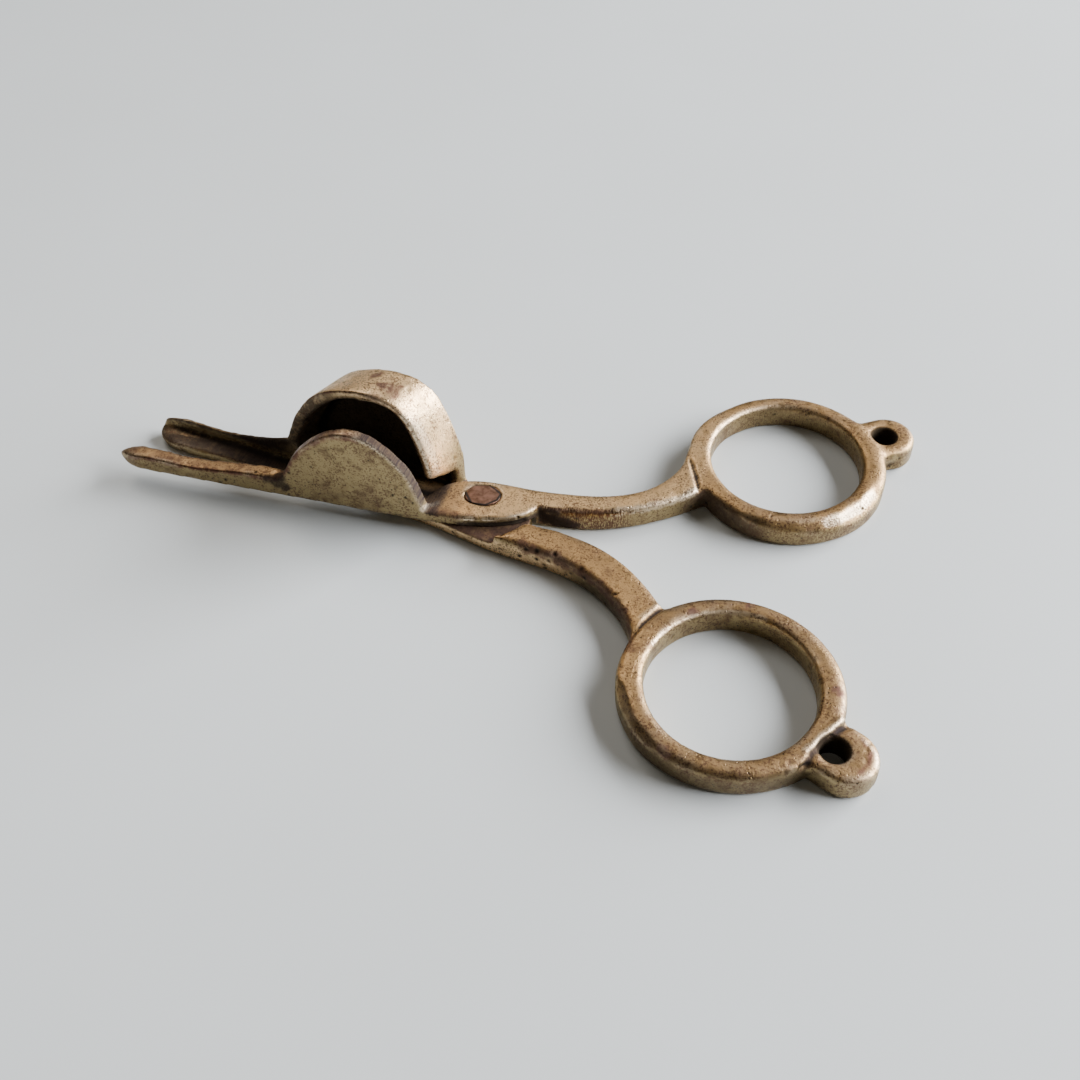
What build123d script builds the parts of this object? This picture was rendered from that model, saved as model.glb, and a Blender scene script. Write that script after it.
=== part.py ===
from build123d import *
import math
import os

# Wick trimmer: a scissor-type candle snuffer in cast brass. Two levers cross in a
# half-lap joint on one rivet. One lever carries an upright press plate, the other
# carries the box that the plate closes, and each runs on into a pointed finger.
#
# Millimetres, +Z up. The origin is where the rivet's axis meets the surface that
# the tool lies on. +X runs from the rivet to the finger rings, -X to the tips.

# ---------------------------------------------------------------- driving sizes
handle_depth = 4.5          # levers, rings and lugs, from the table up
lap_height = 2.3            # the plane where the two levers slide on each other
lap_gap = 0.05              # each lever stands off that plane by this much
edge_round = 0.7            # worn edges of the handles
step_radius = 9.0           # where a lever changes from half to full depth

ring_radius = 12.5          # inside of a finger ring
plate_ring = (45.3, 23.4)   # centre of the plate lever's finger hole
box_ring = (46.65, -24.1)   # centre of the box lever's finger hole
plate_ring_rim = (45.6, 23.1, 15.9, 15.6)   # outside of the ring: centre, half width, half height
box_ring_rim = (46.5, -24.2, 16.3, 15.5)    # hand-filed, so not quite round or central

lug_radius = 4.4
plate_lug = (60.4, 34.0)    # centre of the lug's round end
plate_lug_hole = (59.8, 33.6)
box_lug = (64.1, -30.8)
box_lug_hole = (62.3, -30.6)
lug_hole_radius = 2.15
lug_top_step = 0.35         # the lugs are filed a little lower than the rings

shank_radius = 1.9          # the rivet
shank_clearance = 0.05      # the rivet turns in the box lever
lower_head_radius = 2.7
head_depth = 1.1
head_clearance = 0.05
head_gap = 0.02             # hairline round the rivet in the plate lever, which it is fast in

plate_slope = 0.0665        # how the blades lie to the X axis: rise in y over run in x
plate_offset = -6.35        # where the plate's outer face crosses x = 0
plate_base = 2.25           # thickness at the foot
plate_top = 1.7             # thickness at the crown
finger_width = 2.6

rim_slope = -0.079
rim_offset = -3.4           # where the box's mouth crosses x = 0
box_depth = 7.6             # mouth to back, outside
box_lean = 2.2              # the back lies this much nearer the rivet than the mouth
box_drop = 0.5              # and this much lower
back_thickness = 1.6
trough_wall = 0.9           # thin wall along the far finger
foot_width = 2.2            # what is left of the box's rear wall behind the boss

past = 1                    # cutting shapes run on this far beyond what they cut
beyond = 200                # longer than the whole tool

lap_low = lap_height - lap_gap
lap_high = lap_height + lap_gap


def blade_plane(offset, slope):
    """Upright plane along a blade: local x runs to the tip, local y is up, normal is +Y."""
    return Plane(origin=(0, offset, 0), x_dir=(-1, -slope, 0), z_dir=(-slope, 1, 0))


plate_plane = blade_plane(plate_offset, plate_slope)
rim_plane = blade_plane(rim_offset, rim_slope)


def closed(*parts):
    """Face inside curves that meet end to end."""
    return make_face([edge for part in parts for edge in part.edges()])


def slab(sketch, low, high):
    return extrude(Pos(0, 0, low) * sketch, high - low)


def rounded(solid):
    """Rounds every edge of the top and bottom faces."""
    levels = solid.edges().group_by(Axis.Z)
    return fillet(levels[0] + levels[-1], edge_round)


def lug_sketch(ring_centre, end_centre):
    """Round-ended tab that grows out of a ring."""
    lean = math.atan2(end_centre[1] - ring_centre[1], end_centre[0] - ring_centre[0])
    reach = math.dist(ring_centre, end_centre)
    neck = Rectangle(reach - ring_radius - past, 2 * lug_radius, align=(Align.MAX, Align.CENTER))
    return Pos(*end_centre) * (Circle(lug_radius) + Rot(0, 0, math.degrees(lean)) * neck)


def lever_blank(outline, centre, rim, lug_centre, hole, lap):
    """Lever, ring and lug at full depth with rounded edges, less its half of the lap joint."""
    disc = Pos(rim[0], rim[1]) * Ellipse(rim[2], rim[3])
    blank = rounded(slab(outline + disc - Pos(*centre) * Circle(ring_radius), 0, handle_depth))
    lug = rounded(slab(lug_sketch(centre, lug_centre), 0, handle_depth - lug_top_step))
    ring_inside = Pos(rim[0], rim[1]) * Ellipse(rim[2] - edge_round, rim[3] - edge_round)
    lug -= slab(ring_inside, -past, handle_depth)
    lug_hole = slab(Pos(*hole) * Circle(lug_hole_radius), -past, handle_depth + past)
    swing = Circle(step_radius) + Pos(-beyond / 2, 0) * Rectangle(beyond, beyond)
    return blank + lug - lug_hole - slab(swing, *lap)


# ---------------------------------------------------------------- plate lever
def plate_lever_outline():
    """Boss and arm in one outline, from the foot of the plate to the ring."""
    blade_edge = Spline((-11, -7.08), (-7.5, -6.7), (-1, -5.9), (4.5, -4.3), (8.2, -1.9), (9.4, 0))
    arm_edge = Spline((9.4, 0), (16, 0.8), (22.2, 2.9), (28.1, 6.5), (34.5, 12.2))
    far_edge = Spline((30, 23.4), (29.1, 17), (26, 10.6), (21.1, 7), (15, 5), (8.5, 3.9), (2.6, 3.6),
                      (-2.3, 2.9), (-5.6, 1.5), (-8.3, -0.7), (-11, -3.4))
    return closed(blade_edge, arm_edge, Line(arm_edge @ 1, far_edge @ 0), far_edge,
                  Line(far_edge @ 1, blade_edge @ 0))


def press_plate():
    """Upright plate with a rounded crown and a long slope down to the boss."""
    rear = Spline((7.6, 4.9), (8.5, 8.2), (9.8, 12), (12, 15.1), (15.2, 17.9), (18.5, 18.8))
    front = Spline((18.5, 18.8), (22, 18.1), (25.5, 15.8), (28.6, 12.6), (30.8, 9), (32, 6.9),
                   (34.5, 6))
    foot = Polyline((34.5, 6), (34.5, lap_high), (7.6, lap_high), (7.6, 4.9))
    blank = extrude(plate_plane * closed(rear, front, foot), plate_base)
    relief = Polyline((plate_base, 5), (plate_base + 1, 5), (plate_base + 1, 20), (plate_top, 20), close=True)
    side = Plane(origin=plate_plane.origin, x_dir=plate_plane.z_dir, z_dir=-plate_plane.x_dir)
    return blank - extrude(side * make_face(relief), -40)


def near_finger():
    """Slim bar that carries on from the plate, swelling to a bow-shaped tip."""
    root = 33
    outer = Line((root, 0), (58, 0))
    tip = Spline((58, 0), (60.6, 0.5), (62.2, 1.7), (60.6, 2.6), (57.5, 2.75))
    inner = Spline((57.5, 2.75), (50, finger_width), (42, finger_width), (root, finger_width))
    plan = closed(outer, tip, inner, Line((root, finger_width), (root, 0)))
    flat = Plane(origin=(0, plate_offset, 0), x_dir=plate_plane.x_dir, z_dir=(0, 0, -1))
    bar = extrude(flat * plan, -9)
    crest = Spline((root - 1, 6.1), (40, 6), (50, 5.15), (56, 5.6), (60, 5.2), (62.4, 4.2))
    keel = Polyline((62.4, 4.2), (62.2, 3.2), (60.6, lap_high), (root - 1, lap_high), (root - 1, 6.1))
    profile = extrude(plate_plane * closed(crest, keel), 8, both=True)
    return bar & profile


def plate_lever():
    lap = (-past, lap_high)
    blank = lever_blank(plate_lever_outline(), plate_ring, plate_ring_rim, plate_lug, plate_lug_hole, lap)
    lever = blank + press_plate() + near_finger()
    lever -= slab(Circle(shank_radius + head_gap), -past, handle_depth + past)
    return lever - upper_head(head_gap)


# ---------------------------------------------------------------- rivet
def upper_head(spread):
    """Peened head: an uneven oval, sunk flush in the plate lever."""
    corners = [(-2.8, -0.9), (-2.3, 1), (-0.4, 2), (1.8, 1.8), (2.95, 0), (2.1, -1.7), (-0.4, -2.4)]
    grown = [(x + spread * x / math.hypot(x, y), y + spread * y / math.hypot(x, y)) for x, y in corners]
    top = make_face(Spline(*grown, periodic=True))
    return slab(top, handle_depth - head_depth, handle_depth + spread)


def lower_head(spread):
    """Round countersunk head, flush with the underside, on which the box lever turns."""
    return Cone(lower_head_radius + spread, shank_radius + spread, head_depth + spread,
                align=(Align.CENTER, Align.CENTER, Align.MIN))


def pivot_rivet():
    return slab(Circle(shank_radius), 0, handle_depth) + upper_head(0) + lower_head(0)


# ---------------------------------------------------------------- box lever
def box_lever_outline():
    """Far finger, blade and arm in one outline."""
    near_edge = Spline((32.2, -26), (28.3, -16.4), (23.2, -12.2), (16, -9.5), (9.1, -8.6),
                       (2, -7.75), (-5.5, -6.2), (-14.8, -5.1), (-30, -3.8), (-44.7, -3.2), (-55.9, -2.6))
    tip = Spline((-55.9, -2.6), (-59, -1.5), (-60.5, 0.4), (-60, 2.24))
    far_edge = Line((-60, 2.24), (-34, 0.19))
    arm_edge = Spline((-34, 0.19), (-15, -1), (0, -3), (9.1, -3.4), (14.8, -3.75), (21.8, -5.15),
                      (29.1, -9.3), (35, -15))
    return closed(near_edge, tip, far_edge, arm_edge, Line(arm_edge @ 1, near_edge @ 0))


def box_boss_sketch():
    """Half-depth boss round the rivet, carried on to the foot of the box."""
    edge = Spline((-7, 4), (-4, 4.3), (0, 4.4), (4.6, 3.6), (7.8, 1.4), (8.6, -1.2), (8.6, -4.4))
    return closed(edge, Polyline((8.6, -4.4), (0, -5), (-7, -3), (-7, 4)))


def box_shell():
    """Arched band with a closed back, leaning towards the rivet."""
    outer_arch = Spline((7.5, 8), (7.9, 10.5), (9.1, 15), (10.8, 19.2), (13.2, 21.8), (17.5, 22.9),
                        (22, 22.2), (26, 20.6), (29, 18.2), (31.5, 14.9), (33.4, 11.4), (34.8, 8))
    outer_sides = Polyline((34.8, 8), (35.4, 0), (7.5, 0), (7.5, 8))
    inner_arch = Spline((9.3, 8), (9.8, 11), (11, 16.2), (13, 19.9), (17.5, 21.1), (22, 20.4),
                        (25.6, 18.2), (28.8, 15), (31.3, 11.2), (32.8, 8))
    inner_sides = Polyline((32.8, 8), (33.4, lap_low), (9.3, lap_low), (9.3, 8))
    lean = rim_plane.z_dir * box_depth - rim_plane.x_dir * box_lean - Vector(0, 0, box_drop)
    outer = extrude(rim_plane * closed(outer_arch, outer_sides), lean.length, dir=lean.normalized())
    inner_length = lean.length * (1 - back_thickness / box_depth)
    inner = extrude(rim_plane * closed(inner_arch, inner_sides), inner_length, dir=lean.normalized())
    return outer, inner


def boss_slot():
    """Opening under the box's rear wall, where the plate lever's boss swings."""
    depth = box_depth - foot_width
    profile = Polyline((-1, 7.8), (depth, 6), (depth, lap_low), (-1, lap_low), close=True)
    side = Plane(origin=rim_plane.origin, x_dir=rim_plane.z_dir, z_dir=-rim_plane.x_dir)
    return extrude(side * make_face(profile), -10.5)


def trough_wall_solid():
    """Thin wall along the far finger, high at the box and at the tip."""
    crest = Spline((33, 8.2), (35.3, 7.3), (42, 5.4), (50, 4.4), (56.5, 4.6), (59.5, 3.9), (60.5, 2.6))
    under = Polyline((60.5, 2.6), (60.5, 1), (33, 1), (33, 8.2))
    return extrude(rim_plane * closed(crest, under), trough_wall)


def box_lever():
    lap = (lap_low, handle_depth + past)
    blank = lever_blank(box_lever_outline(), box_ring, box_ring_rim, box_lug, box_lug_hole, lap)
    outer, inner = box_shell()
    lever = blank + slab(box_boss_sketch(), 0, lap_low) + trough_wall_solid()
    outer &= slab(Rectangle(beyond, beyond), 0, beyond)
    lever = lever + (outer - boss_slot()) - inner
    lever -= slab(Circle(shank_radius + shank_clearance), -past, handle_depth)
    return lever - lower_head(head_clearance)


# ---------------------------------------------------------------- build
os.makedirs("parts", exist_ok=True)
nodes = {"plate_lever": plate_lever(), "box_lever": box_lever(), "pivot_rivet": pivot_rivet()}
for name, solid in nodes.items():
    export_step(solid, f"parts/{name}.step")
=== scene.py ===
import math

import bpy
import numpy as np
from mathutils import Matrix, Vector


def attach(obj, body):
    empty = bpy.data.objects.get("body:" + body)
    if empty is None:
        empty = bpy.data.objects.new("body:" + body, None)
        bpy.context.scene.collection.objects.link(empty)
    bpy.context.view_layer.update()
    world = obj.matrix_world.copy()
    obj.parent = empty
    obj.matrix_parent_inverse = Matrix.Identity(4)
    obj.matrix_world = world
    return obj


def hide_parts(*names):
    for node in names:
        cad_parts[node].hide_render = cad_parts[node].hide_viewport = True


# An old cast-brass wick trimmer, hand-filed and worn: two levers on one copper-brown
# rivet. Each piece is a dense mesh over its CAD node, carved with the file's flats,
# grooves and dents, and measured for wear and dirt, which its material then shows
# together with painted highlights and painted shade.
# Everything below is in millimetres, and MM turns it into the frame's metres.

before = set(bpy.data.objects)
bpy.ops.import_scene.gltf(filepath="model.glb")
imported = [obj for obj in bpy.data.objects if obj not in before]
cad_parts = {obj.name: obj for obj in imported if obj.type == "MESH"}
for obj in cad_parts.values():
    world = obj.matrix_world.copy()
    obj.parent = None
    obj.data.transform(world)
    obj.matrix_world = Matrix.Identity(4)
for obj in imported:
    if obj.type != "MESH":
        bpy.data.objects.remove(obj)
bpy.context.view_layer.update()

MM = 0.001
LEVER_VOXEL = 0.27
RIVET_VOXEL = 0.09
LAP_HEIGHT = 2.3                       # where the levers slide on each other
TOP = 4.5                              # the levers' flat upper side
PLATE_RING = (45.3, 23.4)              # centres of the finger holes
BOX_RING = (46.65, -24.1)
RING_INSIDE, RING_OUTSIDE = 12.5, 15.7
PLATE_LUG = (59.8, 33.6)               # centres of the lugs' holes
BOX_LUG = (62.3, -30.6)
RING_START = 33                        # x where the arms end and the rings begin
MARKS_REACH = 15                       # radius at which file marks are counted round a ring
BEVEL_TILT = 42                        # degrees above the table that the filed bevels face
TINTS = ("bare_and_highlight", "polished_and_lit", "grime_and_shade", "stain_and_shade", "hatch", "filed_and_shade", "soot_and_shade", "pitted")


# ---------------------------------------------------------------- arithmetic
def ease(values, low, high):
    """0 below low, 1 above high, and a smooth rise between them."""
    share = np.clip((values - low) / (high - low), 0, 1)
    return share * share * (3 - 2 * share)


def lattice(cell, seed):
    """The same random number from 0 to 1 each run for a corner of the noise grid."""
    mixed = cell[:, 0] * 374761393 + cell[:, 1] * 668265263 + cell[:, 2] * 1103515245
    mixed = mixed + seed * 12345701
    mixed = (mixed ^ (mixed >> 13)) * 1274126177
    return ((mixed ^ (mixed >> 16)) & 0xFFFFFF) / 0xFFFFFF


def noise(points, size, seed):
    """Smooth noise from -1 to 1 with lumps about size across."""
    place = points / size
    cell = np.floor(place).astype(np.int64)
    share = place - cell
    share = share * share * (3 - 2 * share)
    total = np.zeros(len(points))
    for corner in np.ndindex(2, 2, 2):
        weight = np.prod(np.where(corner, share, 1 - share), axis=1)
        total += weight * lattice(cell + corner, seed)
    return 2 * total - 1


def spots(points, size, share, seed):
    """1 at the middle of round spots that sit in some of the cells of a grid."""
    cell = np.floor(points / size).astype(np.int64)
    shift = np.stack([lattice(cell, seed + k) - 0.5 for k in range(3)], axis=1)
    middle = cell + 0.5 + 0.35 * shift
    away = np.linalg.norm(points / size - middle, axis=1) + 0.12 * noise(points, 0.5, seed)
    return (1 - ease(away, 0.12, 0.34)) * (lattice(cell, seed + 3) < share)


def between(values, low, high, soft):
    """1 from low to high and 0 outside, with soft ends."""
    return ease(values, low - soft, low + soft) * (1 - ease(values, high - soft, high + soft))


def arc(centre, radius, start, end, height):
    """Path round part of a ring, from one angle to another in degrees."""
    angles = np.radians(np.linspace(start, end, 16))
    x, y = centre
    return [(x + radius * math.cos(a), y + radius * math.sin(a), height) for a in angles]


def to_path(points, path):
    """Distance from each point to a line of straight runs."""
    nearest = np.full(len(points), np.inf)
    for start, end in zip(path[:-1], path[1:]):
        start, run = np.array(start), np.subtract(end, start)
        share = np.clip((points - start) @ run / (run @ run), 0, 1)
        nearest = np.minimum(nearest, np.linalg.norm(points - start - share[:, None] * run, axis=1))
    return nearest


def direction(azimuth, elevation):
    """Unit vector: azimuth from +X towards +Y and elevation above the table, in degrees."""
    a, e = math.radians(azimuth), math.radians(elevation)
    return np.array([math.cos(a) * math.cos(e), math.sin(a) * math.cos(e), math.sin(e)])


# ---------------------------------------------------------------- carving
class Skin:
    """A CAD node's surface as a dense even mesh that can be carved and measured."""

    def __init__(self, node, voxel):
        blank = bpy.data.objects.new("blank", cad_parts[node].data.copy())
        bpy.context.scene.collection.objects.link(blank)
        remesh = blank.modifiers.new("even", "REMESH")
        remesh.mode = "VOXEL"
        remesh.voxel_size = voxel * MM
        evaluated = blank.evaluated_get(bpy.context.evaluated_depsgraph_get())
        self.mesh = bpy.data.meshes.new_from_object(evaluated)
        bpy.data.objects.remove(blank)
        self.mesh.name = node
        count = len(self.mesh.vertices)
        self.points = np.empty(count * 3)
        self.mesh.vertices.foreach_get("co", self.points)
        self.points = self.points.reshape(-1, 3) / MM
        ends = np.empty(len(self.mesh.edges) * 2, np.int32)
        self.mesh.edges.foreach_get("vertices", ends)
        self.ends = ends.reshape(-1, 2).T
        self.degree = np.bincount(ends, minlength=count)
        self.tints = {name: np.zeros(count) for name in TINTS}

    def around(self, values):
        """Mean over each vertex's neighbours."""
        if values.ndim == 2:
            return np.stack([self.around(column) for column in values.T], axis=1)
        a, b = self.ends
        count = len(values)
        total = np.bincount(a, values[b], count) + np.bincount(b, values[a], count)
        return total / self.degree

    def blurred(self, values, rounds):
        for _ in range(rounds):
            values = (values + self.around(values)) / 2
        return values

    def smooth(self, rounds, where=1.0):
        where = np.broadcast_to(where, len(self.points))[:, None]
        for _ in range(rounds):
            self.points = self.points + where * (self.around(self.points) - self.points) / 2

    def soften_handle(self, rounds, start, lug):
        """Rounds the arm and ring by years of wear, the lug less, but not the edges they lie on."""
        x, y, z = self.points.T
        crisp = 0.8 * (1 - ease(np.hypot(x - lug[0], y - lug[1]), 4, 6.5))
        self.smooth(rounds, ease(x, start, start + 5) * ease(z, 0.6, 1.6) * (1 - crisp))

    def normals(self):
        self.store()
        found = np.empty(len(self.points) * 3)
        self.mesh.vertex_normals.foreach_get("vector", found)
        return found.reshape(-1, 3)

    def bulge(self, rounds):
        """How far each vertex stands out from its smoothed surroundings."""
        return np.sum((self.points - self.blurred(self.points, rounds)) * self.normals(), axis=1)

    def push(self, depth, along=None):
        """Moves the surface in by depth, or towards along, clear of the lap joint and the table."""
        way = -self.normals() if along is None else along
        self.points = self.points + (depth * self.free())[:, None] * way
        self.points[:, 2] = np.maximum(self.points[:, 2], 0)

    def free(self):
        """0 on the sliding faces of the lap joint, where nothing may be carved, and 1 elsewhere."""
        flat = ease(np.abs(self.normals()[:, 2]), 0.6, 0.9)
        near = 1 - ease(np.abs(self.points[:, 2] - LAP_HEIGHT), 0.15, 0.4)
        return 1 - flat * near

    def groove(self, path, width, depth):
        """V-shaped cut along a path, or a ridge when depth is negative."""
        self.push(depth * np.clip(1 - to_path(self.points, path) / width, 0, 1))

    def tint(self, name, amount):
        self.tints[name] = np.maximum(self.tints[name], amount)

    def line(self, name, path, width, amount=1.0):
        """Tints a line with soft, ragged sides."""
        ragged = width * (1 + 0.35 * noise(self.points, 0.8, 71))
        self.tint(name, amount * (1 - ease(to_path(self.points, path), 0.4 * ragged, ragged)))

    def patch(self, name, place, radius, amount=1.0):
        """Tints a ragged patch."""
        away = np.linalg.norm(self.points - place, axis=1) + 0.6 * radius * noise(self.points, 1.1, 83)
        self.tint(name, amount * (1 - ease(away, 0.5 * radius, radius)))

    def dent(self, centre, radius, depth):
        away = np.linalg.norm(self.points - centre, axis=1)
        self.push(depth * (1 - ease(away, 0, radius)))

    def scoop(self, centre, radius, depth, floor):
        """Lowers the surface round a place, but keeps it above the floor."""
        away = np.linalg.norm(self.points - centre, axis=1)
        room = 0.85 * np.clip(self.points[:, 2] - floor, 0, None)
        self.push(np.minimum(depth * (1 - ease(away, 0, radius)), room), np.array([0, 0, -1]))

    def round_tip(self, start, low):
        """Brings a finger's raised rim down to its tip in a quarter ellipse."""
        x, _, z = self.points.T
        share = np.clip((start - x) / (start - x.min()), 0, 1)
        rim = z[np.abs(x - start) < 0.5].max()
        ceiling = low + (rim - low) * np.sqrt(1 - share ** 2)
        self.points[:, 2] = np.where(share > 0, np.minimum(z, ceiling), z)

    def file_flat(self, point, azimuth, elevation, reach):
        """Takes off what stands beyond a plane, as a file does, within reach of the point."""
        way = direction(azimuth, elevation)
        beyond = (self.points - point) @ way
        near = 1 - ease(np.linalg.norm(self.points - point, axis=1), 0.6 * reach, reach)
        self.push(near * np.clip(beyond, 0, None), -way)

    def weather(self, seed):
        """Slight unevenness of a hand-finished casting."""
        lumps = 0.055 * noise(self.points, 9, seed) + 0.018 * noise(self.points, 3.1, seed + 1)
        self.push(lumps + 0.010 * noise(self.points, 1.1, seed + 2))

    def store(self):
        self.mesh.vertices.foreach_set("co", (self.points * MM).ravel())
        self.mesh.update()

    def note(self, name, values):
        """Keeps a number for each vertex, which the material reads by name."""
        layer = self.mesh.attributes.new(name, "FLOAT", "POINT")
        layer.data.foreach_set("value", values.astype(np.float32))

    def note_place(self, name, places):
        layer = self.mesh.attributes.new(name, "FLOAT_VECTOR", "POINT")
        layer.data.foreach_set("vector", places.astype(np.float32).ravel())

    def measure(self):
        """Notes where the surface is worn, where dirt gathers and what faces up, and the tints."""
        fine, broad = self.bulge(6), self.bulge(40)
        self.note("worn", ease(fine + 0.4 * broad, 0.035, 0.16))
        self.note("dirty", ease(-fine - 0.5 * broad, 0.03, 0.14))
        self.note("up", ease(self.normals()[:, 2], 0.35, 0.85))
        for name, amount in self.tints.items():
            self.note(name, np.clip(amount, 0, 1))


def finish_piece(skin, name, body, slot, material):
    """Makes the carved skin the shown piece that stands for its CAD node, named first in slot."""
    skin.store()
    skin.mesh.materials.clear()
    skin.mesh.materials.append(material)
    skin.mesh.shade_smooth()
    piece = bpy.data.objects.new(name, skin.mesh)
    bpy.context.scene.collection.objects.link(piece)
    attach(piece, body)
    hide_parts(slot[0])


# ---------------------------------------------------------------- materials
class Shader:
    """A few short words for building a node material."""

    def __init__(self, name):
        self.material = bpy.data.materials.new(name)
        self.material.use_nodes = True
        self.nodes = self.material.node_tree.nodes
        self.links = self.material.node_tree.links
        self.surface = self.nodes["Principled BSDF"]
        self.place = self.nodes.new("ShaderNodeTexCoord").outputs["Object"]

    def wire(self, value, socket):
        if isinstance(value, bpy.types.NodeSocket):
            self.links.new(value, socket)
        else:
            socket.default_value = value

    def maths(self, operation, first, second, clamp=False):
        node = self.nodes.new("ShaderNodeMath")
        node.operation = operation
        node.use_clamp = clamp
        for value, socket in zip((first, second), node.inputs):
            self.wire(value, socket)
        return node.outputs[0]

    def rise(self, value, low, high, bottom=0.0, top=1.0):
        """Goes from bottom to top as value goes from low to high."""
        node = self.nodes.new("ShaderNodeMapRange")
        node.interpolation_type = "SMOOTHSTEP"
        for given, socket in zip((value, low, high, bottom, top), node.inputs):
            self.wire(given, socket)
        return node.outputs[0]

    def mix(self, share, first, second):
        node = self.nodes.new("ShaderNodeMix")
        node.data_type = "RGBA"
        self.wire(share, node.inputs["Factor"])
        self.wire(first, node.inputs[6])
        self.wire(second, node.inputs[7])
        return node.outputs[2]

    def noted(self, name, kind="Fac"):
        node = self.nodes.new("ShaderNodeAttribute")
        node.attribute_name = name
        return node.outputs[kind]

    def moved(self, place, shift, stretch):
        node = self.nodes.new("ShaderNodeMapping")
        self.links.new(place, node.inputs["Vector"])
        node.inputs["Location"].default_value = shift
        node.inputs["Scale"].default_value = stretch
        return node.outputs[0]

    def grain(self, size, detail=3.0, roughness=0.55, seed=0, stretch=(1, 1, 1), place=None, unit=MM):
        """Noise from about 0.2 to 0.8 with lumps about size across."""
        node = self.nodes.new("ShaderNodeTexNoise")
        at = self.moved(place or self.place, (seed * 37 * unit, seed * 11 * unit, 0), stretch)
        self.links.new(at, node.inputs["Vector"])
        node.inputs["Scale"].default_value = 1 / (size * unit)
        node.inputs["Detail"].default_value = detail
        node.inputs["Roughness"].default_value = roughness
        return node.outputs["Fac"]

    def pits(self, size, radius, share, seed=0):
        """1 in small round spots, one in some of the cells of a grid size across."""
        node = self.nodes.new("ShaderNodeTexVoronoi")
        at = self.moved(self.place, (seed * 23 * MM, 0, seed * 7 * MM), (1, 1, 1))
        self.links.new(at, node.inputs["Vector"])
        node.inputs["Scale"].default_value = 1 / (size * MM)
        split = self.nodes.new("ShaderNodeSeparateColor")
        self.links.new(node.outputs["Color"], split.inputs[0])
        spot = self.rise(node.outputs["Distance"], radius, radius * 0.55)
        return self.maths("MULTIPLY", spot, self.maths("LESS_THAN", split.outputs[0], share))

    def bump(self, height, strength, distance, normal=None):
        node = self.nodes.new("ShaderNodeBump")
        self.wire(strength, node.inputs["Strength"])
        node.inputs["Distance"].default_value = distance * MM
        self.links.new(height, node.inputs["Height"])
        if normal is not None:
            self.links.new(normal, node.inputs["Normal"])
        return node.outputs[0]


BARE_AND_HIGHLIGHT = (0.86, 0.70, 0.50, 1)         # brass rubbed bare on edges, and painted highlights along edges
POLISHED_AND_LIT = (0.97, 0.68, 0.38, 1)       # polished brass on the arms and the arch, and painted light on the box lever's low near side
TAN = (0.52, 0.322, 0.146, 1)          # brass as it faces up: patina, and painted light that makes tops lighter than sides
OLIVE = (0.36, 0.272, 0.134, 1)        # brass on the upright sides: patina, and painted shade that makes them darker than tops
UMBER = (0.115, 0.062, 0.040, 1)       # brown tarnish
GRIME_AND_SHADE = (0.105, 0.080, 0.054, 1)       # dull dirt worked into the surface, and painted shade on low near sides, the far finger and the box's left rim
RED_BROWN = (0.165, 0.074, 0.054, 1)   # stains, and painted shade on the lap face
FILED_AND_SHADE = (0.034, 0.026, 0.026, 1)       # dark purple-grey where coarse filing holds dirt, and painted shade on the lap face and round the boss
BLACK = (0.018, 0.014, 0.012, 1)       # soot, dirt in pits and corners, and painted shade in lug holes, round the boss and in the far finger
COPPER = (0.27, 0.150, 0.110, 1)       # the rivet
TABLE_DARK = (0.603, 0.632, 0.645, 1)  # the table top's two close shades
TABLE_PALE = (0.618, 0.650, 0.667, 1)


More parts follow.
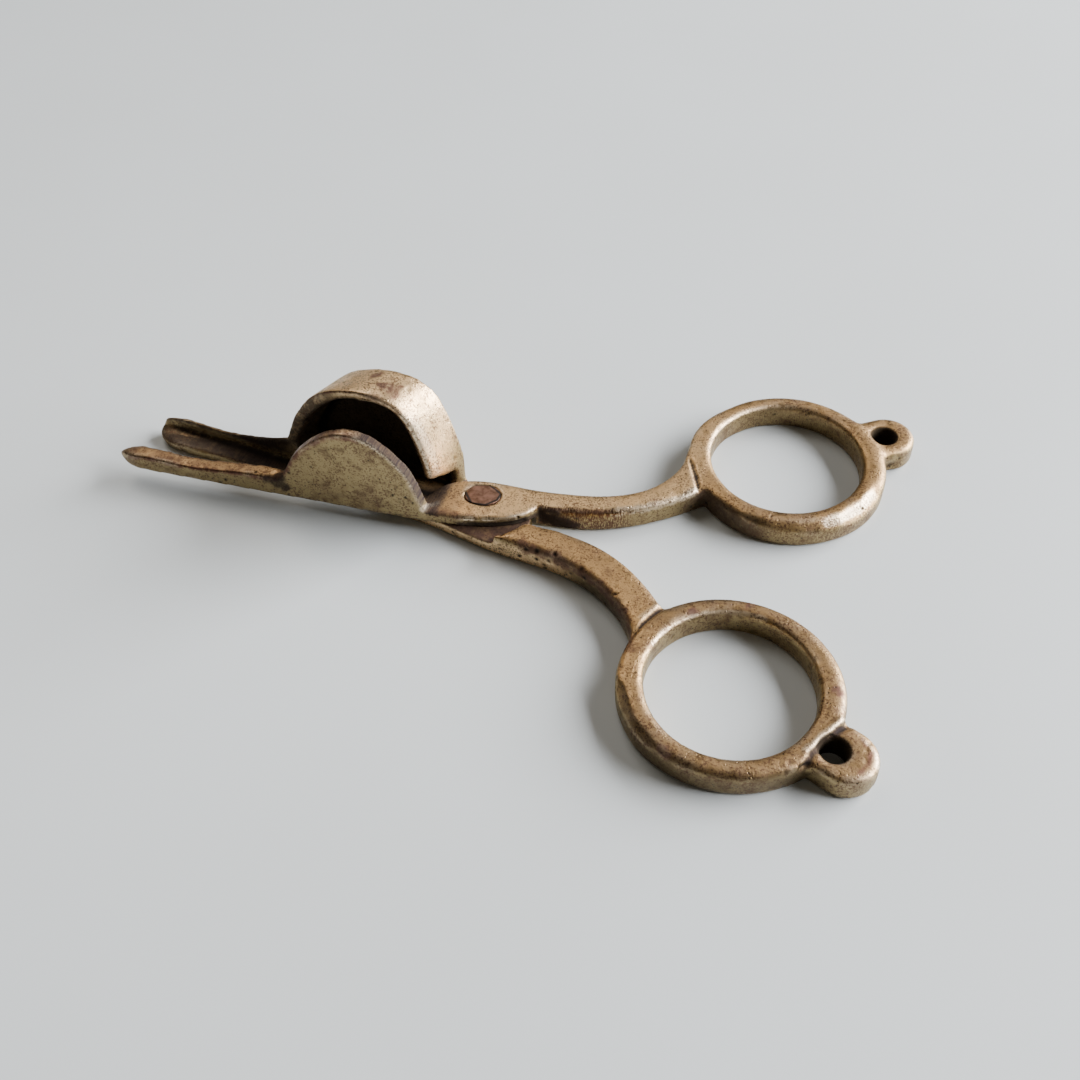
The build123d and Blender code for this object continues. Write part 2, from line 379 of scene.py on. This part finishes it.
def aged_brass(name):
    """Tarnished cast brass: bare on some edges, brown and black in hollows, pitted and filed, with
    painted highlights and shade in places.
    """
    m = Shader(name)
    cloud = m.grain(6, 4, 0.6, seed=1)
    mottle = m.grain(1.5, 5, 0.65, seed=2)
    speckle = m.grain(0.34, 4, 0.7, seed=3)
    # tan tops and olive sides: patina, with painted light on tops and painted shade on sides
    colour = m.mix(m.noted("up"), OLIVE, TAN)
    polished_and_lit = m.noted("polished_and_lit")
    colour = m.mix(m.maths("MULTIPLY", polished_and_lit, m.rise(cloud, 0.3, 0.6, 0.5, 1)), colour, POLISHED_AND_LIT)
    brown = m.rise(m.maths("ADD", cloud, m.maths("MULTIPLY", mottle, 0.6)), 0.78, 1.05, 0, 0.5)
    brown = m.maths("MULTIPLY", brown, m.maths("SUBTRACT", 1.0, m.maths("MULTIPLY", polished_and_lit, 0.6)))
    colour = m.mix(brown, colour, UMBER)
    grime_and_shade = m.maths("MULTIPLY", m.noted("grime_and_shade"), m.rise(mottle, 0.3, 0.55, 0.6, 1))
    colour = m.mix(grime_and_shade, colour, GRIME_AND_SHADE)
    stain_and_shade = m.maths("MULTIPLY", m.noted("stain_and_shade"), m.rise(mottle, 0.35, 0.55, 0.35, 1))
    colour = m.mix(stain_and_shade, colour, RED_BROWN)
    wear = m.maths("MULTIPLY", m.noted("worn"), m.rise(cloud, 0.45, 0.65, 0.0, 0.35))
    # edges rubbed bare, and painted highlights along them
    bare_and_glint = m.maths("MULTIPLY", m.noted("bare_and_highlight"), m.rise(mottle, 0.28, 0.45, 0.55, 1))
    colour = m.mix(m.maths("MAXIMUM", wear, bare_and_glint), colour, BARE_AND_HIGHLIGHT)
    colour = m.mix(m.rise(mottle, 0.50, 0.70, 0, 0.35), colour, UMBER)
    thin = m.rise(m.grain(4.5, 3, 0.6, seed=7), 0.36, 0.64, 0.045, -0.03)
    colour = m.mix(m.rise(m.maths("SUBTRACT", speckle, thin), 0.505, 0.60, 0, 0.8), colour, UMBER)
    along = m.noted("marks", "Vector")
    marks = m.grain(0.2, 3, 0.6, seed=4, stretch=(1, 1, 0.25), place=along, unit=1)
    colour = m.mix(m.maths("MULTIPLY", m.noted("hatch"), m.rise(marks, 0.43, 0.55)), colour, UMBER)
    crowd = m.rise(m.grain(4.5, 2, 0.5, seed=5), 0.42, 0.60, 0.15, 0.9)
    small = m.maths("MULTIPLY", m.pits(0.6, 0.30, 0.45, seed=1), crowd)
    pitted = m.maths("MAXIMUM", small, m.noted("pitted"))
    colour = m.mix(m.maths("MULTIPLY", pitted, 0.85), colour, BLACK)
    dirt = m.maths("MULTIPLY", m.noted("dirty"), m.rise(mottle, 0.2, 0.5, 0.45, 0.9))
    colour = m.mix(dirt, colour, BLACK)
    filed_and_shade = m.maths("MULTIPLY", m.noted("filed_and_shade"), m.rise(marks, 0.35, 0.6, 1, 0.88))
    colour = m.mix(filed_and_shade, colour, FILED_AND_SHADE)
    colour = m.mix(m.noted("soot_and_shade"), colour, BLACK)
    m.wire(colour, m.surface.inputs["Base Color"])
    # dark filing, soot and painted shade all take the shine off
    crust_and_shade = m.maths("MULTIPLY", m.maths("MAXIMUM", m.noted("soot_and_shade"), filed_and_shade), 1.1, clamp=True)
    metal = m.maths("SUBTRACT", 1.0, crust_and_shade)
    m.wire(metal, m.surface.inputs["Metallic"])
    m.wire(m.maths("MULTIPLY", metal, 0.12), m.surface.inputs["Specular IOR Level"])
    rough = m.rise(mottle, 0.3, 0.7, 0.34, 0.54)
    rough = m.maths("SUBTRACT", rough, m.maths("MULTIPLY", bare_and_glint, 0.08))
    rough = m.maths("ADD", rough, m.maths("MULTIPLY", m.maths("MAXIMUM", crust_and_shade, dirt), 0.2), clamp=True)
    m.wire(rough, m.surface.inputs["Roughness"])
    bumps = m.bump(m.maths("SUBTRACT", m.grain(0.3, 4, 0.6, seed=6), pitted), 0.75, 0.06)
    bumps = m.bump(marks, m.maths("ADD", m.maths("MULTIPLY", m.noted("hatch"), 0.6), 0.25), 0.08, bumps)
    m.wire(bumps, m.surface.inputs["Normal"])
    return m.material


def rivet_metal():
    """Copper-brown rivet with a hammered, satin head."""
    m = Shader("rivet_copper")
    cloud = m.grain(1.5, 4, 0.6, seed=8)
    colour = m.mix(m.rise(cloud, 0.35, 0.65), COPPER, UMBER)
    colour = m.mix(m.maths("MAXIMUM", m.noted("dirty"), m.noted("soot_and_shade")), colour, BLACK)
    m.wire(colour, m.surface.inputs["Base Color"])
    m.wire(m.maths("SUBTRACT", 1.0, m.noted("soot_and_shade")), m.surface.inputs["Metallic"])
    m.surface.inputs["Roughness"].default_value = 0.45
    m.surface.inputs["Specular IOR Level"].default_value = 0.1
    m.wire(m.bump(m.grain(0.4, 4, 0.6, seed=9), 0.5, 0.05), m.surface.inputs["Normal"])
    return m.material


def floor_paint():
    """Pale satin table top with the faintest variation."""
    m = Shader("pale_table")
    wash = m.rise(m.grain(60, 3, 0.5, seed=3), 0.3, 0.7)
    m.wire(m.mix(wash, TABLE_DARK, TABLE_PALE), m.surface.inputs["Base Color"])
    m.surface.inputs["Roughness"].default_value = 0.36
    m.surface.inputs["Specular IOR Level"].default_value = 0.5
    return m.material


# ---------------------------------------------------------------- pieces
def near_face(along, up):
    """Point on the press plate's near face, measured from the rivet towards the tip."""
    return (-along, -6.35 - 0.0665 * along, up)


OUTWARD = np.array([-1, 0, 0])         # from the rivet towards the fingers' tips
RIVET_EDGE = [(-3.05, -0.25, TOP), (-2.0, 1.65, TOP), (0.4, 2.2, TOP), (2.8, 0.9, TOP),
              (2.65, -0.6, TOP), (1.2, -2.2, TOP), (-1.1, -2.5, TOP), (-3.05, -0.25, TOP)]
# the press plate's round edge, from its peak down towards the rivet and towards the tip
REAR_SLOPE = [near_face(17.6, 18.6), near_face(15.2, 17.9), near_face(12, 15.1),
              near_face(9.8, 12), near_face(8.5, 8.2), near_face(7.6, 5.2)]
FRONT_SLOPE = [near_face(17.6, 18.6), near_face(22, 18.1), near_face(25.5, 15.8),
               near_face(28.6, 12.6), near_face(30.8, 9), near_face(33, 6.6)]


def in_hole(points, centre):
    """1 on the wall of a lug's hole, darkened with dirt and painted shade."""
    return 1 - ease(np.hypot(points[:, 0] - centre[0], points[:, 1] - centre[1]), 2.2, 2.6)


def behind_mouth(points):
    """How far in each point lies from the plane of the box's mouth."""
    return points[:, 1] - (-3.4 - 0.079 * points[:, 0])


def on_rear_rim(points):
    """1 on the rim of the box's mouth where it comes down towards the rivet."""
    x, _, z = points.T
    return between(x, -17, -5, 2) * (1 - ease(behind_mouth(points), 1.5, 3)) * ease(z, 5, 7)


def bevel_ring(skin, centre, angles, depths):
    """Flats filed one beside another on a ring's outer top edge."""
    for angle, depth in zip(angles, depths):
        way = direction(angle, BEVEL_TILT)
        corner = np.array([*centre, TOP]) + RING_OUTSIDE * direction(angle, 0)
        skin.file_flat(corner - depth * way, angle, BEVEL_TILT, 4.5)


def plate_lever():
    skin = Skin("plate_lever", LEVER_VOXEL)
    skin.smooth(4)
    skin.soften_handle(16, 12, PLATE_LUG)
    near_edge = [(15, 0.6, TOP), (22.2, 2.9, TOP), (28.1, 6.5, TOP), (33, 10.8, TOP)]
    skin.smooth(30, 1 - ease(to_path(skin.points, near_edge), 1.4, 2.6))
    skin.weather(11)
    # filed bevels, the groove where the arm meets the ring, and the ridge beside it
    bevel_ring(skin, PLATE_RING, (-50, -36, -22), (0.80, 0.95, 0.80))
    bevel_ring(skin, PLATE_RING, (-118, -97, -78, -64), (0.66, 0.58, 0.70, 0.75))
    skin.soften_handle(9, 30, PLATE_LUG)
    skin.push(-0.15 * ease(skin.points[:, 0], 33, 36))
    # the ring's band is wider beside the arm
    from_centre = skin.points * (1, 1, 0) - (*PLATE_RING, 0)
    radius = np.linalg.norm(from_centre, axis=1)
    widened = 0.8 * ease(radius, RING_INSIDE + 0.8, RING_OUTSIDE - 0.3)
    widened = widened * ease(from_centre[:, 1], -8, -2)
    beside_arm = (1 - ease(from_centre[:, 1], 1, 13)) * (1 - ease(from_centre[:, 0], -14, -8))
    skin.push(widened * beside_arm, from_centre / radius[:, None])
    join = [(30.1, 18.0, TOP), (31.3, 15.7, TOP), (32.4, 13.35, TOP), (33.5, 10.8, TOP),
            (33.4, 9.6, 3.6), (32.9, 6.9, 2)]
    skin.groove(join, 0.6, 0.45)
    ridge = [(31.0, 8.8, 4.1), (31.9, 10.2, 4.3), (32.6, 11.4, 4.4)]
    skin.groove(ridge, 0.7, -0.2)
    # the boss is scooped at its left end and cut back under its near edge
    skin.scoop((-11.5, -1.8, TOP), 6.5, 1.7, LAP_HEIGHT + 0.1)
    skin.groove([(-0.5, -5.9, 3.0), (4.5, -4.4, 2.9), (7.8, -2.3, 2.9)], 0.8, 0.35)
    skin.groove(RIVET_EDGE, 0.3, 0.05)
    skin.dent((62.1, 29.3, 1.2), 2.0, 0.5)
    tip = 1 - ease(skin.points[:, 0], -60, -56)
    skin.smooth(14, tip)
    skin.push(0.8 * tip, OUTWARD)
    skin.smooth(1)

    x, y, z = skin.points.T
    facing = skin.normals()
    pits = spots(skin.points, 1.1, 0.07, 5)
    skin.push(0.10 * pits)
    skin.tint("pitted", pits)
    nearside = ease(-facing[:, 1], 0.35, 0.75)
    skin.tint("polished_and_lit", 0.45 * between(x, -3, 33, 3) * ease(facing[:, 2], 0.8, 0.95))
    skin.tint("grime_and_shade", 0.12 * ease(x, 32, 36) * ease(facing[:, 2], 0.5, 0.8))
    skin.line("stain_and_shade", [(9.8, -0.3, 4.3), (15, 0.6, 4.3), (22.2, 2.9, 4.2)], 0.8, 0.8)
    # dirt, and painted shade on the ring's near-left side, which faces the shadowed table
    skin.tint("grime_and_shade", 0.85 * nearside * between(x, 32, 45, 2.5) * between(y, 4, 20, 2))
    skin.tint("filed_and_shade", 0.5 * nearside * between(x, 31, 40, 2.5) * between(y, 4, 20, 2))
    skin.tint("stain_and_shade", 0.3 * (1 - ease(x, -40, -34)) * (1 - nearside))
    # lines of brass rubbed bare, with painted highlights along the edges
    skin.line("bare_and_highlight", ridge, 1.0)
    arm_end = [(21.5, 2.9, 4.1), (26, 5.3, 4.1), (29.5, 7.8, 4.2), (31.6, 9.5, 4.3)]
    skin.line("bare_and_highlight", arm_end, 1.0, 0.75)
    skin.line("bare_and_highlight", arc(PLATE_RING, RING_OUTSIDE - 0.4, -55, -17, 4.1), 1.2, 0.8)
    skin.line("bare_and_highlight", arc(PLATE_RING, RING_INSIDE + 0.4, 95, 190, 4.1), 0.6, 0.4)
    skin.line("bare_and_highlight", REAR_SLOPE, 0.42)
    skin.line("bare_and_highlight", [near_face(7.6, 5.2), (-7.8, -5.3, 4.4), (-6.6, -4.2, 4.3)], 0.8)
    skin.line("bare_and_highlight", [(-0.8, -5.9, 4.3), (0, -5.6, 4.3)], 0.7)
    skin.line("bare_and_highlight", [(2, -5.1, 4.3), (5.5, -3.9, 4.3), (8.2, -1.9, 4.4), (9.3, -0.3, 4.5)], 0.5)
    # the press plate's rim: filed towards the rivet and stained towards the tip
    rim = ease(facing[:, 2] + 0.6 * np.abs(facing[:, 0]), 0.35, 0.7)
    rim = rim * ease(z, 5, 6) * between(x, -33, -6, 1)
    rear = ease(x, -18.5, -16.5)
    skin.tint("filed_and_shade", rim * rear)
    skin.tint("stain_and_shade", 0.85 * rim * (1 - rear))
    skin.line("stain_and_shade", FRONT_SLOPE, 1.1, 0.9)
    skin.line("stain_and_shade", [(-6.5, -5.9, 4.3), (-2, -5.6, 4.4), (0, -5.2, 4.4)], 1.0, 0.6)
    # dark filing with painted shade: the boss's scooped end under the arch, under its near edge and on
    # the arm behind it
    scoop = ease(facing[:, 2], 0.15, 0.4) * between(z, 2.4, 4.9, 0.2)
    skin.tint("filed_and_shade", 0.97 * between(x, -13, -5.2, 1.0) * scoop)
    skin.tint("filed_and_shade", 0.45 * between(x, -8, -2.8, 1.2) * scoop)
    undercut = [(-1.5, -6.0, 2.6), (4.5, -4.4, 2.8), (7.8, -2.3, 3.0), (9.2, -0.8, 2.8)]
    skin.line("filed_and_shade", undercut, 1.1, 0.95)
    behind_boss = ease(x, 9.2, 9.7) * (1 - ease(facing[:, 2], 0.6, 0.85))
    arm_side = [(9.2, -0.4, 3.8), (9.6, -0.2, 2.4), (12, 0.1, 2.0), (14.8, 0.6, 0.8)]
    skin.line("filed_and_shade", arm_side, 2.3, behind_boss)
    skin.line("filed_and_shade", [(9.2, -0.4, 4.0), (12.5, 0.2, 3.7)], 1.0, 0.9 * behind_boss)
    # soot, with painted shade in the recess behind the boss and under its near edge
    skin.line("soot_and_shade", [(9.4, -0.4, 3.2), (12, 0.1, 1.8), (14.0, 0.5, 1.0)], 1.2, 0.6 * behind_boss)
    skin.line("soot_and_shade", [(0.5, -5.7, 2.6), (4.5, -4.4, 2.7), (7.8, -2.3, 2.8)], 0.9, 0.6)
    skin.line("filed_and_shade", join, 0.55, 0.9)
    skin.line("soot_and_shade", RIVET_EDGE, 0.34, 0.9)
    for along, up, size in ((32.0, 6.6, 1.5), (33.4, 5.2, 1.6), (31.6, 4.9, 1.5), (34.2, 6.4, 1.2)):
        skin.patch("filed_and_shade", near_face(along, up), size, 0.85)
    finger_line = [near_face(33, 5.8), near_face(40, 5.75), near_face(50, 4.95),
                   near_face(56, 5.35), near_face(60, 4.9), near_face(62, 4.1)]
    skin.line("stain_and_shade", finger_line, 0.6, 0.95)
    skin.tint("grime_and_shade", 0.45 * (1 - ease(x, -38, -34)) * (1 - nearside))
    upright = 1 - ease(np.abs(facing[:, 2]), 0.3, 0.6)
    skin.tint("hatch", ease(-facing[:, 1], 0.2, 0.5) * between(x, 9, 24, 2.5) * between(y, -1, 8, 1))
    skin.tint("hatch", 0.45 * upright * ease(x, 31, 34))
    # dirt, and painted shade in the lug's hole
    skin.tint("soot_and_shade", 0.9 * in_hole(skin.points, PLATE_LUG))
    inner = ease(facing[:, 1], 0.4, 0.8) * between(x, -33, -8, 1)
    skin.tint("soot_and_shade", 0.8 * inner * ease(z, 4.2, 5.2) * (1 - rim))
    return skin


def box_lever():
    skin = Skin("box_lever", LEVER_VOXEL)
    skin.smooth(4)
    skin.soften_handle(16, 12, BOX_LUG)
    x, _, z = skin.points.T
    arm_edge = [(9.1, -8.6, TOP), (16, -9.5, TOP), (23.2, -12.2, TOP), (28.3, -16.4, TOP),
                (31.6, -24, TOP)]
    skin.smooth(30, on_rear_rim(skin.points))
    skin.smooth(6, between(x, -37, -5, 1) * ease(z, 6, 9))
    by_edge = 1 - ease(to_path(skin.points, arm_edge), 1.5, 3.2)
    skin.smooth(40, by_edge * ease(z, 0.8, 3.6) * ease(x, 7, 13))
    skin.smooth(30, between(x, 4, 13, 1.5) * ease(z, 2.5, 3.2))
    skin.round_tip(-53.5, 2.4)
    skin.smooth(6, 1 - ease(x, -37, -34))
    tip = 1 - ease(x, -58.5, -55)
    skin.smooth(22, tip)
    skin.push(0.75 * tip, OUTWARD)
    skin.weather(23)
    # filed bevels, and the grooves and ridges where the ring meets the arm and the lug
    join = [(34.0, -13.65, TOP), (33.1, -15.4, TOP), (32.1, -17.3, TOP), (31.1, -19.8, TOP),
            (30.3, -22.0, TOP)]
    lug_join = [(63.3, -26.1, 4.2), (62.2, -27.5, 4.2), (60.6, -30.5, 4.2), (59.5, -32.3, 4.2),
                (58.9, -35.2, 3.8)]
    lug_ridge = [(62.5, -25.6, TOP), (61.4, -27.3, TOP), (59.7, -30.2, TOP), (58.5, -32.2, TOP)]
    bevel_ring(skin, BOX_RING, (-150, -128, -104, -80, -58), (0.62, 0.70, 0.64, 0.72, 0.62))
    skin.soften_handle(9, 30, BOX_LUG)
    skin.push(-0.13 * ease(skin.points[:, 0], 33, 36))
    skin.groove(join, 0.6, 0.42)
    skin.groove([(33.2, -13.3, TOP), (32.2, -15.2, TOP), (31.2, -17.1, TOP)], 0.8, -0.08)
    side_pits = [(9.2, -8.6, 1.5), (12.2, -8.9, 2.2), (13.4, -9.1, 1.4), (14.3, -9.3, 2.6),
                 (17.4, -9.9, 1.3), (18.2, -10.1, 2.1), (20.6, -11.0, 2.9)]
    for place in side_pits:
        skin.dent(place, 0.55, 0.22)
    skin.groove(lug_join, 0.8, 0.7)
    skin.groove(lug_ridge, 0.8, -0.22)
    skin.smooth(1)

    places = skin.points
    x, y, z = places.T
    facing = skin.normals()
    pits = spots(places, 1.6, 0.22, 9) * (0.35 + 0.65 * between(x, 2, 28, 3))
    skin.push(0.18 * pits)
    skin.tint("pitted", pits)
    nearside = ease(-facing[:, 1], 0.35, 0.75)
    head = between(x, -36, -6, 1)
    depth = behind_mouth(places)
    skin.tint("polished_and_lit", head * ease(z, 3, 12))
    skin.tint("grime_and_shade", 0.12 * between(x, 9, 24, 4) * ease(z, 3.6, 4.2))
    skin.tint("grime_and_shade", 0.38 * ease(x, 32, 36) * ease(facing[:, 2], 0.5, 0.8))
    outer = np.hypot(x - BOX_RING[0], y - BOX_RING[1]) - RING_OUTSIDE
    outer_band = ease(outer, -1.6, -0.8) * (1 - ease(outer, 0.3, 0.6))
    skin.tint("grime_and_shade", 0.55 * outer_band * ease(x, 31, 34))
    # painted light: the low near side, which faces the shadowed table, is lifted with the polished
    # colour
    skin.tint("polished_and_lit", nearside * between(x, -12, 18, 3) * (1 - ease(z, 3, 4)))
    # dirt, and painted shade low on the arm's near side, which faces the shadowed table
    skin.tint("grime_and_shade", 0.8 * nearside * between(x, 20, 33, 3) * (1 - ease(z, 2.8, 4.2)))
    # the far finger is dull with dirt and painted shade but for its low near side and the top of its
    # wall
    low_side = nearside * (1 - ease(z, 3.4, 4.2))
    wall_top = 0.8 * ease(z, 5.1, 5.6) * ease(facing[:, 2], 0.3, 0.7)
    skin.tint("grime_and_shade", 0.9 * (1 - ease(x, -39, -35)) * (1 - low_side) * (1 - wall_top))
    finger_line = [(-34, -3.6, 4.2), (-44.7, -3.0, 4.2), (-55.5, -2.4, 4.2), (-58.6, -1.4, 4.2)]
    skin.line("stain_and_shade", finger_line, 0.55, 0.95)
    for place in side_pits:
        skin.patch("pitted", place, 0.5)
    brown_edge = [(9.5, -8.3, 3.8), (16, -9.3, 3.6), (23.2, -12.0, 3.6), (28.3, -16.2, 3.5),
                  (31.4, -23, 3.4)]
    skin.line("stain_and_shade", brown_edge, 1.5, 0.75)
    skin.line("filed_and_shade", brown_edge, 1.1, 0.35)
    # lines of brass rubbed bare, with painted highlights along the edges
    skin.line("bare_and_highlight", [(33.2, -13.3, TOP), (32.2, -15.2, TOP), (31.4, -16.8, TOP)], 0.5, 0.3)
    skin.line("bare_and_highlight", lug_ridge, 0.6, 0.5)
    skin.line("bare_and_highlight", arc(BOX_RING, RING_INSIDE + 0.4, 80, 165, 4.1), 0.5, 0.6)
    lug_arc = [(65.6, -27.9, TOP), (66.9, -29.6, TOP), (67.0, -31.6, TOP), (65.9, -33.6, TOP)]
    skin.line("stain_and_shade", lug_arc, 0.6, 0.85)
    skin.line("bare_and_highlight", [(64.8, -27.2, 3.8), (67.6, -29.6, 3.7), (68.2, -31.2, 3.6)], 0.7, 0.8)
    # painted highlight on the box's rear rim where it faces the light
    to_light = ease(facing[:, 0] - facing[:, 1], 0.95, 1.3)
    skin.tint("bare_and_highlight", 0.8 * on_rear_rim(places) * to_light)
    skin.line("filed_and_shade", join, 0.5, 0.85)
    skin.line("filed_and_shade", lug_join, 0.8, 0.9)
    for place, size in (((46.2, -9.8, TOP), 1.3), ((61.3, -20.9, TOP), 1.2), ((40.6, -38.2, TOP), 1.2),
                        ((38.3, -13.8, TOP), 1.1), ((-15.2, 0.9, 22), 2.2), ((-18.5, 3.5, 22.4), 1.5)):
        skin.patch("stain_and_shade", place, size, 0.9)
        skin.patch("filed_and_shade", place, 0.8 * size, 0.4)
    # the box is sooty inside, with a dull lip and a stained rim round its mouth, darker on the left
    # with painted shade
    towards = np.stack([-21 - x, np.zeros(len(x)), 9 - z], axis=1)
    towards /= np.linalg.norm(towards, axis=1)[:, None]
    inside = ease(np.sum(towards * facing, axis=1), 0.15, 0.5) * head * ease(z, 1.9, 2.1)
    lip = 1.8 + 3.4 * (1 - ease(x, -27, -23))
    skin.tint("soot_and_shade", inside * ease(depth, 0.2 * lip, lip))
    skin.tint("grime_and_shade", 0.8 * inside * (1 - ease(depth, 0.3 * lip, lip)))
    skin.tint("filed_and_shade", 0.5 * inside * (1 - ease(depth, 0.5 * lip, lip)))
    back = head * ease(-facing[:, 1], 0.4, 0.7) * ease(depth, 3, 4) * ease(z, 2.1, 2.6)
    skin.tint("soot_and_shade", 0.93 * back)
    mouth = head * ease(z, 5, 7) * ease(-facing[:, 1], 0.3, 0.6) * (1 - ease(depth, 0.8, 1.5))
    skin.tint("grime_and_shade", mouth * (0.35 + 0.6 * (1 - ease(x, -27, -22))) * (1 - ease(x, -17, -14)))
    skin.tint("stain_and_shade", 0.6 * mouth * ease(x, -17, -14))
    rim_edge = between(facing[:, 2] - facing[:, 1], 1.2, 1.5, 0.08)
    skin.tint("stain_and_shade", 0.8 * head * rim_edge * ease(z, 12, 15) * (1 - ease(x, -16, -13)))
    # the far finger's trough, filed dark, and darker towards the box with soot and painted shade
    finger = 1 - ease(x, -36, -33)
    wall = finger * ease(z, 3.9, 4.5) * ease(-facing[:, 1], 0.2, 0.5)
    skin.tint("filed_and_shade", 0.9 * wall * (1 - ease(facing[:, 2], 0.5, 0.8)))
    floor = finger * ease(facing[:, 2], 0.3, 0.6) * (1 - ease(y - 0.079 * x, 3.8, 4.3))
    skin.tint("filed_and_shade", floor * (0.62 + 0.3 * ease(x, -55, -40)))
    skin.tint("soot_and_shade", 0.35 * floor * ease(x, -50, -36))
    skin.tint("hatch", 0.22 * (1 - ease(np.abs(facing[:, 2]), 0.3, 0.6)) * ease(x, 31, 34))
    # dirt, and painted shade in the lug's hole
    skin.tint("soot_and_shade", 0.9 * in_hole(skin.points, BOX_LUG))
    # stain and filing, with painted shade on the lap face between the levers and in the gap beside the
    # boss
    lap = between(x, -10, 10, 1) * ease(facing[:, 2], 0.5, 0.8) * between(z, 2, 3, 0.2)
    skin.tint("stain_and_shade", 0.8 * lap)
    skin.tint("filed_and_shade", lap * (0.75 + 0.15 * noise(skin.points, 1.5, 41)))
    skin.patch("filed_and_shade", (8.8, -3.6, 3.2), 1.8, 0.95 * (1 - ease(facing[:, 2], 0.6, 0.85)))
    return skin


def pivot_rivet():
    skin = Skin("pivot_rivet", RIVET_VOXEL)
    skin.smooth(3)
    skin.push(0.03 * noise(skin.points, 1.3, 5))
    skin.line("soot_and_shade", RIVET_EDGE, 0.3)
    return skin


def add_notes(skin, ring):
    """Notes what the material reads, with the file marks running round the ring."""
    skin.measure()
    x, y, z = skin.points.T
    angle = np.arctan2(y - ring[1], -(x - ring[0]))
    along = np.where(x > RING_START, angle * MARKS_REACH, x)
    skin.note_place("marks", np.stack([along, 0 * y, z], axis=1))


levers = [("plate_lever", plate_lever, "plate_side", "plate_lever_brass", PLATE_RING),
          ("box_lever", box_lever, "box_side", "box_lever_brass", BOX_RING)]
for node, carve, body, slot, ring in levers:
    skin = carve()
    add_notes(skin, ring)
    finish_piece(skin, node + "_cast", body, (node, slot), aged_brass(slot))
skin = pivot_rivet()
add_notes(skin, PLATE_RING)
finish_piece(skin, "pivot_rivet_peened", "plate_side", ("pivot_rivet", "rivet_copper"), rivet_metal())


# ---------------------------------------------------------------- table, light, camera
def table_top():
    half = 2.0
    mesh = bpy.data.meshes.new("table_top")
    corners = [(-half, -half, 0), (half, -half, 0), (half, half, 0), (-half, half, 0)]
    mesh.from_pydata(corners, [], [(0, 1, 2, 3)])
    mesh.materials.append(floor_paint())
    table = bpy.data.objects.new("table_top", mesh)
    bpy.context.scene.collection.objects.link(table)


def soft_light(name, azimuth, elevation, away, width, height, power, colour):
    """Rectangular light that faces the object."""
    data = bpy.data.lights.new(name, "AREA")
    data.shape = "RECTANGLE"
    data.size, data.size_y = width * MM, height * MM
    data.energy = power
    data.color = colour
    lamp = bpy.data.objects.new(name, data)
    way = Vector(direction(azimuth, elevation))
    lamp.location = way * away * MM
    lamp.rotation_euler = way.to_track_quat("Z", "Y").to_euler()
    bpy.context.scene.collection.objects.link(lamp)


def lights():
    world = bpy.data.worlds.new("studio")
    world.use_nodes = True
    sky = world.node_tree.nodes["Background"]
    sky.inputs["Color"].default_value = (1.0, 0.87, 0.66, 1)
    sky.inputs["Strength"].default_value = 0.053
    bpy.context.scene.world = world
    soft_light("window", 30, 25, 1200, 1300, 700, 76, (0.98, 0.99, 1.0))
    soft_light("room", -80, 48, 1500, 1500, 1000, 0.8, (1.0, 0.91, 0.76))
    soft_light("back_wall", 138, 50, 1200, 800, 600, 4.2, (1.0, 0.95, 0.87))


def camera():
    place = Vector((56.3, -125.4, 143.9)) * MM
    turn, pitch, roll = math.radians(20.42), math.radians(47.76), math.radians(2.06)
    data = bpy.data.cameras.new("camera")
    data.lens, data.sensor_width = 40, 36
    data.clip_start, data.clip_end = 0.01, 10
    cam = bpy.data.objects.new("camera", data)
    aim = Matrix.Rotation(turn, 4, "Z") @ Matrix.Rotation(math.pi / 2 - pitch, 4, "X")
    aim = aim @ Matrix.Rotation(-roll, 4, "Z")
    cam.matrix_world = Matrix.Translation(place) @ aim
    bpy.context.scene.collection.objects.link(cam)
    bpy.context.scene.camera = cam


table_top()
lights()
camera()
